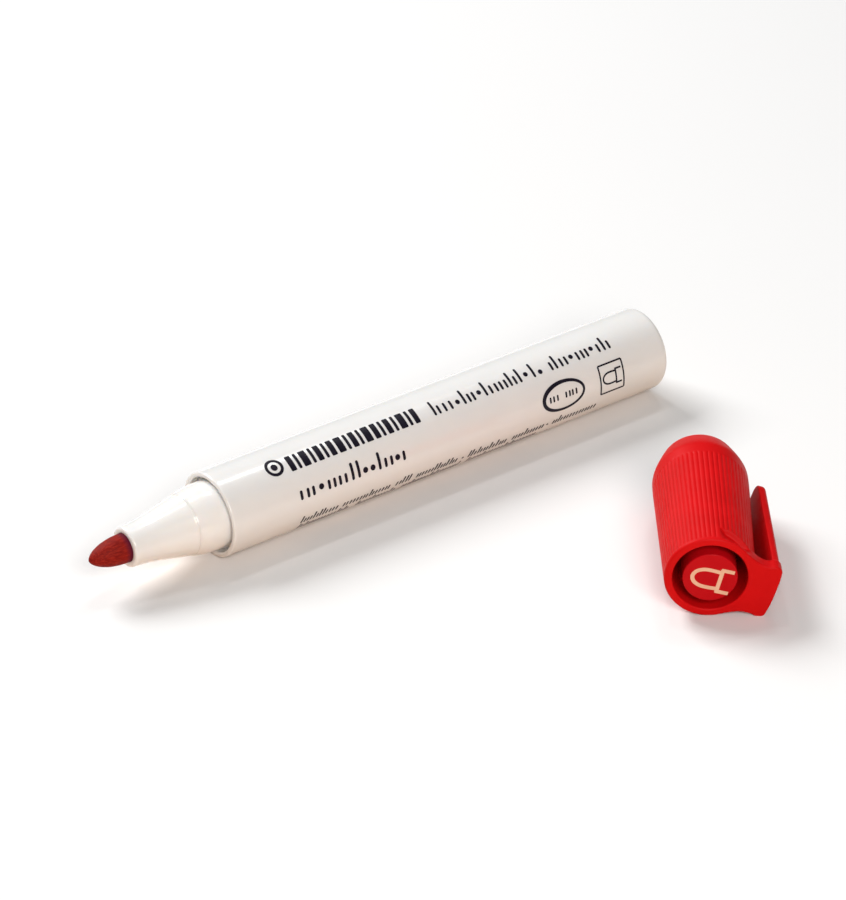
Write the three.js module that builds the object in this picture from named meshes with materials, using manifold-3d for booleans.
// Whiteboard marker with its cap taken off and laid beside it.
//
// Frame, in millimetres: the marker lies along X with its nib towards -X and its closed rear end
// towards +X, +Z is up, and z = 0 is the surface that the marker and the cap lie on. The origin is
// on the underside of the barrel, half way along it.
import * as THREE from "three";
import { mergeVertices } from "three/addons/utils/BufferGeometryUtils.js";
import Module from "manifold-3d";

const wasm = await Module();
wasm.setup();

// ---------------------------------------------------------------- driving dimensions, mm
const SEGMENTS = 48; // facets round every turned piece, with one facet facing straight down
const GAP = 0.3; // clearance between pieces that are pressed or bonded together

const BARREL_RADIUS = 8.2;
const BARREL_LENGTH = 102.7;
const BARREL_REAR_ROUND = 1.2;
const BARREL_WALL = 0.95;
const BARREL_REAR_WALL = 1.3;
const BARREL_END_WALL = 1.6;
const BARREL_LIP_ROUND = 0.35;

const HOLDER_COLLAR_RADIUS = 6.45; // the neck that the cap slides over
const HOLDER_COLLAR_REACH = 3; // how far the neck stands out of the barrel's mouth
const HOLDER_SHOULDER_RADIUS = 5.9;
const HOLDER_SHOULDER_REACH = 5.8;
const HOLDER_NOSE_RADIUS = 4.05;
const HOLDER_NOSE_START = 14.8;
const HOLDER_NOSE_REACH = 18.4;
const HOLDER_NOSE_ROUND = 0.6;
const HOLDER_NOSE_DRAFT = 0.25; // the nose's radius is this much less at its front
const HOLDER_FLANGE_START = 9; // the flange is the part pressed into the barrel
const HOLDER_DEPTH = 16;
const HOLDER_REAR_BORE = 5.6;
const HOLDER_BORE_DEPTH = 7;

const NIB_RADIUS = 2.75;
const NIB_REACH = 26;
const NIB_BULLET = 7.6; // length of the rounded writing end
const NIB_DEPTH = 20; // its rear end sits in a hole in the core
const NIB_SEGMENTS = 32;

const CORE_RADIUS = 5.9;
const CORE_LENGTH = 80;
const FILM_WALL = 0.25;
const FILM_END_MARGIN = 1;

const CAP_LENGTH = 36.9;
const CAP_CLOSED_RADIUS = 8.2;
const CAP_SKIRT_RADIUS = 8.85; // widest, where the ribs end
const CAP_RIBBED_LENGTH = 28.5;
const CAP_SHOULDER_START = 30.8; // from here the skirt narrows to a lip that enters the barrel's mouth
const CAP_SHOULDER_ROUND = 1.2;
const CAP_LIP_RADIUS = 7.05;
const CAP_LIP_BORE = 6.55;
const CAP_LIP_BORE_LENGTH = 4.5;
const CAP_BORE_CLOSED = 6.72;
const CAP_BORE_OPEN = 7.25;
const CAP_BORE_STEP = 1; // length of the slope between the wide bore and the lip's
const CAP_EDGE = 0.3;

const PLUG_RADIUS = 4.93; // the inner cap, whose closed end shows as a disc in the cap's end
const PLUG_BORE = 3.9;
const PLUG_LENGTH = 20;
const PLUG_FLOOR = 1.6;
const PLUG_FIN_COUNT = 4;
const PLUG_FIN_WIDTH = 1.2;
const PLUG_FIN_START = 6;
const PLUG_FIN_END = 16;

const CLIP_OUTER_RADIUS = 12; // measured from the cap's axis
const CLIP_CROWN = 0.3; // how much lower the outer face is at its edges than along its middle
const CLIP_EDGE_ROUND = 1.1;
const CLIP_THICKNESS = 1.5;
const CLIP_WIDTH = 10.5;
const CLIP_TIP_WIDTH = 8;
const CLIP_TIP_ROUND = 3;
const CLIP_OUTLINE_SPARE = 0.1;
const CLIP_LENGTH = 31;
const CLIP_ROOT_LENGTH = 2.4;
const CLIP_LEAN = THREE.MathUtils.degToRad(0.9); // the arm leans in towards its tip
const CLIP_ANGLE = THREE.MathUtils.degToRad(-17.2); // below the horizontal: its edge rests on the table

// Where the cap lies: the centre of its closed end, measured from the barrel's mouth.
const CAP_FROM_MOUTH_X = 58.4;
const CAP_FROM_AXIS_Y = -71.5;
const CAP_HEADING = THREE.MathUtils.degToRad(52.5); // from +X, closed end to open end

// ---------------------------------------------------------------- helpers

// A turned piece about Y from [axial, radius] pairs, outer wall first and rising.
function turned(profile, segments = SEGMENTS) {
  const points = profile.map(([axial, radius]) => new THREE.Vector2(radius, axial));
  return new THREE.LatheGeometry(points, segments, Math.PI / segments, 2 * Math.PI);
}

// [axial, radius] pairs round a corner, from one point to the other.
function rounded(from, corner, to, steps = 4) {
  const curve = new THREE.QuadraticBezierCurve(
    new THREE.Vector2(...from),
    new THREE.Vector2(...corner),
    new THREE.Vector2(...to),
  );
  return curve.getPoints(steps).map((point) => [point.x, point.y]);
}

function toSolid(geometry) {
  const bare = geometry.clone();
  bare.deleteAttribute("normal");
  bare.deleteAttribute("uv");
  const merged = mergeVertices(bare, 1e-5);
  return new wasm.Manifold(new wasm.Mesh({
    numProp: 3,
    vertProperties: merged.attributes.position.array,
    triVerts: new Uint32Array(merged.index.array),
  }));
}

function toGeometry(solid) {
  const mesh = solid.getMesh();
  const geometry = new THREE.BufferGeometry();
  geometry.setAttribute("position", new THREE.BufferAttribute(mesh.vertProperties, 3));
  geometry.setIndex(new THREE.BufferAttribute(mesh.triVerts, 1));
  geometry.computeVertexNormals();
  return geometry;
}

function piece(name, geometry, material) {
  const mesh = new THREE.Mesh(geometry, material);
  mesh.name = name;
  return mesh;
}

const whitePlastic = new THREE.MeshStandardMaterial({ color: 0xf2efec, roughness: 0.3, metalness: 0 });
const redPlastic = new THREE.MeshStandardMaterial({ color: 0xd8141c, roughness: 0.4, metalness: 0 });
const darkRedPlastic = new THREE.MeshStandardMaterial({ color: 0xc00f16, roughness: 0.4, metalness: 0 });
const redFibre = new THREE.MeshStandardMaterial({ color: 0xa3180f, roughness: 0.8, metalness: 0 });
const inkedFibre = new THREE.MeshStandardMaterial({ color: 0xb02a26, roughness: 0.95, metalness: 0 });
const clearFilm = new THREE.MeshStandardMaterial({ color: 0xe8e4de, roughness: 0.25, metalness: 0 });

// ---------------------------------------------------------------- marker, axial 0 at the mouth

function barrel() {
  const innerFront = BARREL_RADIUS - BARREL_WALL;
  const innerRear = BARREL_RADIUS - BARREL_REAR_WALL;
  const lip = BARREL_LIP_ROUND;
  const round = BARREL_REAR_ROUND;
  const rear = BARREL_LENGTH;
  return turned([
    [0, innerFront + lip],
    ...rounded([0, BARREL_RADIUS - lip], [0, BARREL_RADIUS], [lip, BARREL_RADIUS], 2),
    ...rounded([rear - round, BARREL_RADIUS], [rear, BARREL_RADIUS], [rear, BARREL_RADIUS - round]),
    [rear, 0],
    [rear - BARREL_END_WALL, 0],
    [rear - BARREL_END_WALL, innerRear],
    [lip, innerFront],
    [0, innerFront + lip],
  ]);
}

function nibHolder() {
  const bore = NIB_RADIUS + GAP;
  const flangeRadius = BARREL_RADIUS - BARREL_WALL - GAP;
  const nose = -HOLDER_NOSE_REACH;
  const noseRadius = HOLDER_NOSE_RADIUS - HOLDER_NOSE_DRAFT;
  const round = HOLDER_NOSE_ROUND;
  return turned([
    [nose, bore],
    ...rounded([nose, noseRadius - round], [nose, noseRadius], [nose + round, noseRadius], 3),
    [-HOLDER_NOSE_START, HOLDER_NOSE_RADIUS],
    [-HOLDER_SHOULDER_REACH, HOLDER_SHOULDER_RADIUS],
    [-HOLDER_COLLAR_REACH, HOLDER_COLLAR_RADIUS],
    [HOLDER_FLANGE_START, HOLDER_COLLAR_RADIUS],
    [HOLDER_FLANGE_START, flangeRadius],
    [HOLDER_DEPTH, flangeRadius],
    [HOLDER_DEPTH, HOLDER_REAR_BORE],
    [HOLDER_BORE_DEPTH, HOLDER_REAR_BORE],
    [HOLDER_BORE_DEPTH, bore],
    [nose, bore],
  ]);
}

function nib() {
  const profile = [];
  const steps = 10;
  for (let i = 0; i <= steps; i += 1) {
    const k = 1 - (i / steps) ** 1.6; // 1 at the tip, 0 where the rod begins
    const radius = NIB_RADIUS * Math.max(0, 1 - k ** 2.2) ** 0.62;
    profile.push([-NIB_REACH + NIB_BULLET * (1 - k), radius]);
  }
  return turned([...profile, [NIB_DEPTH, NIB_RADIUS], [NIB_DEPTH, 0]], NIB_SEGMENTS);
}

function reservoirCore() {
  const front = HOLDER_DEPTH + GAP;
  const socket = NIB_RADIUS + GAP;
  const socketEnd = NIB_DEPTH + GAP;
  return turned([
    [socketEnd, 0],
    [socketEnd, socket],
    [front, socket],
    [front, CORE_RADIUS],
    [front + CORE_LENGTH, CORE_RADIUS],
    [front + CORE_LENGTH, 0],
  ]);
}

function reservoirFilm() {
  const inner = CORE_RADIUS + GAP;
  const start = HOLDER_DEPTH + GAP + FILM_END_MARGIN;
  const end = HOLDER_DEPTH + GAP + CORE_LENGTH - FILM_END_MARGIN;
  return turned([
    [start, inner],
    [start, inner + FILM_WALL],
    [end, inner + FILM_WALL],
    [end, inner],
    [start, inner],
  ]);
}

// ---------------------------------------------------------------- cap, axial 0 at its closed end

// The skirt, turned, and open right through: the inner cap closes its end.
function capSkirt() {
  const lipStart = CAP_LENGTH - CAP_LIP_BORE_LENGTH;
  const shoulder = rounded(
    [CAP_SHOULDER_START, CAP_SKIRT_RADIUS],
    [CAP_SHOULDER_START + CAP_SHOULDER_ROUND, CAP_SKIRT_RADIUS],
    [CAP_LENGTH, CAP_LIP_RADIUS],
    6,
  );
  return turned([
    [0, CAP_BORE_CLOSED],
    [0, CAP_CLOSED_RADIUS - CAP_EDGE],
    [CAP_EDGE, CAP_CLOSED_RADIUS],
    [CAP_RIBBED_LENGTH, CAP_SKIRT_RADIUS],
    ...shoulder,
    [CAP_LENGTH, CAP_LIP_BORE],
    [lipStart, CAP_LIP_BORE],
    [lipStart - CAP_BORE_STEP, CAP_BORE_OPEN],
    [0, CAP_BORE_CLOSED],
  ]);
}

// The clip's section across the cap's axis, x outwards: flat inside, crowned and rounded outside.
function clipSection(inner) {
  const half = CLIP_WIDTH / 2;
  const edge = CLIP_OUTER_RADIUS - CLIP_CROWN;
  const round = CLIP_EDGE_ROUND;
  const shape = new THREE.Shape();
  shape.moveTo(inner, -half);
  shape.lineTo(edge - round, -half);
  shape.quadraticCurveTo(edge, -half, edge, round - half);
  shape.quadraticCurveTo(CLIP_OUTER_RADIUS + CLIP_CROWN, 0, edge, half - round);
  shape.quadraticCurveTo(edge, half, edge - round, half);
  shape.lineTo(inner, half);
  shape.closePath();
  return shape;
}

// Extrudes a section drawn across the axis, x outwards and y upwards, along the cap's axis.
function alongAxis(section, length) {
  const settings = { depth: length, bevelEnabled: false, curveSegments: 5 };
  const geometry = new THREE.ExtrudeGeometry(section, settings);
  geometry.rotateX(Math.PI / 2);
  geometry.translate(0, length, 0);
  return geometry;
}

// The clip's outline seen from outside, as a block that the clip is cut to.
function clipOutline() {
  const rootHalf = CLIP_WIDTH / 2 + CLIP_OUTLINE_SPARE;
  const tipHalf = CLIP_TIP_WIDTH / 2;
  const plan = new THREE.Shape();
  plan.moveTo(0, -rootHalf);
  plan.lineTo(CLIP_LENGTH - CLIP_TIP_ROUND, -tipHalf);
  plan.quadraticCurveTo(CLIP_LENGTH, -tipHalf, CLIP_LENGTH, 0);
  plan.quadraticCurveTo(CLIP_LENGTH, tipHalf, CLIP_LENGTH - CLIP_TIP_ROUND, tipHalf);
  plan.lineTo(0, rootHalf);
  plan.closePath();
  const settings = { depth: CLIP_OUTER_RADIUS + CLIP_CROWN, bevelEnabled: false, curveSegments: 8 };
  const block = new THREE.ExtrudeGeometry(plan, settings);
  block.rotateZ(Math.PI / 2);
  block.rotateY(Math.PI / 2);
  return block;
}

function clip() {
  const arm = alongAxis(clipSection(CLIP_OUTER_RADIUS - CLIP_THICKNESS), CLIP_LENGTH);
  arm.translate(-CLIP_OUTER_RADIUS, 0, 0);
  arm.rotateZ(CLIP_LEAN);
  arm.translate(CLIP_OUTER_RADIUS, 0, 0);
  const root = alongAxis(clipSection(0), CLIP_ROOT_LENGTH);
  const solid = toSolid(arm).add(toSolid(root)).intersect(toSolid(clipOutline()));
  return solid.rotate([0, -THREE.MathUtils.radToDeg(CLIP_ANGLE), 0]);
}

// The clip's root is cut away inside the middle of the skirt's wall, so that it joins the wall only.
function capShell() {
  const midWall = (CAP_BORE_CLOSED + CAP_CLOSED_RADIUS) / 2;
  const bore = new THREE.CylinderGeometry(midWall, midWall, CAP_LENGTH, SEGMENTS);
  return toGeometry(toSolid(capSkirt()).add(clip().subtract(toSolid(bore))));
}

function innerCap() {
  let solid = toSolid(turned([
    [0, 0],
    [0, PLUG_RADIUS],
    [PLUG_LENGTH, PLUG_RADIUS],
    [PLUG_LENGTH, PLUG_BORE],
    [PLUG_FLOOR, PLUG_BORE],
    [PLUG_FLOOR, 0],
  ]));
  const finTip = CAP_BORE_CLOSED - GAP;
  const finRoot = (PLUG_RADIUS + PLUG_BORE) / 2;
  for (let i = 0; i < PLUG_FIN_COUNT; i += 1) {
    const fin = new THREE.BoxGeometry(finTip - finRoot, PLUG_FIN_END - PLUG_FIN_START, PLUG_FIN_WIDTH);
    fin.translate((finTip + finRoot) / 2, (PLUG_FIN_END + PLUG_FIN_START) / 2, 0);
    fin.rotateY(((i + 0.5) * 2 * Math.PI) / PLUG_FIN_COUNT);
    solid = solid.add(toSolid(fin));
  }
  return toGeometry(solid);
}

// ---------------------------------------------------------------- assembly

// A facet's middle is nearer the axis than its corners, so the axes sit that much lower.
const FLAT = Math.cos(Math.PI / SEGMENTS);
const mouthX = -BARREL_LENGTH / 2;

const marker = new THREE.Group();
marker.position.set(mouthX, 0, BARREL_RADIUS * FLAT);
marker.rotation.z = -Math.PI / 2;
marker.add(
  piece("barrel", barrel(), whitePlastic),
  piece("nib_holder", nibHolder(), whitePlastic),
  piece("nib", nib(), redFibre),
  piece("reservoir_core", reservoirCore(), inkedFibre),
  piece("reservoir_film", reservoirFilm(), clearFilm),
);

const cap = new THREE.Group();
cap.position.set(mouthX + CAP_FROM_MOUTH_X, CAP_FROM_AXIS_Y, CAP_CLOSED_RADIUS * FLAT);
cap.rotation.order = "ZYX";
cap.rotation.z = CAP_HEADING - Math.PI / 2;
cap.rotation.x = Math.atan((CAP_SKIRT_RADIUS - CAP_CLOSED_RADIUS) / (CAP_RIBBED_LENGTH - CAP_EDGE));
cap.add(
  piece("cap_shell", capShell(), redPlastic),
  piece("inner_cap", innerCap(), darkRedPlastic),
);

const whiteboardMarker = new THREE.Group();
whiteboardMarker.name = "whiteboard_marker";
whiteboardMarker.add(marker, cap);
export default whiteboardMarker;
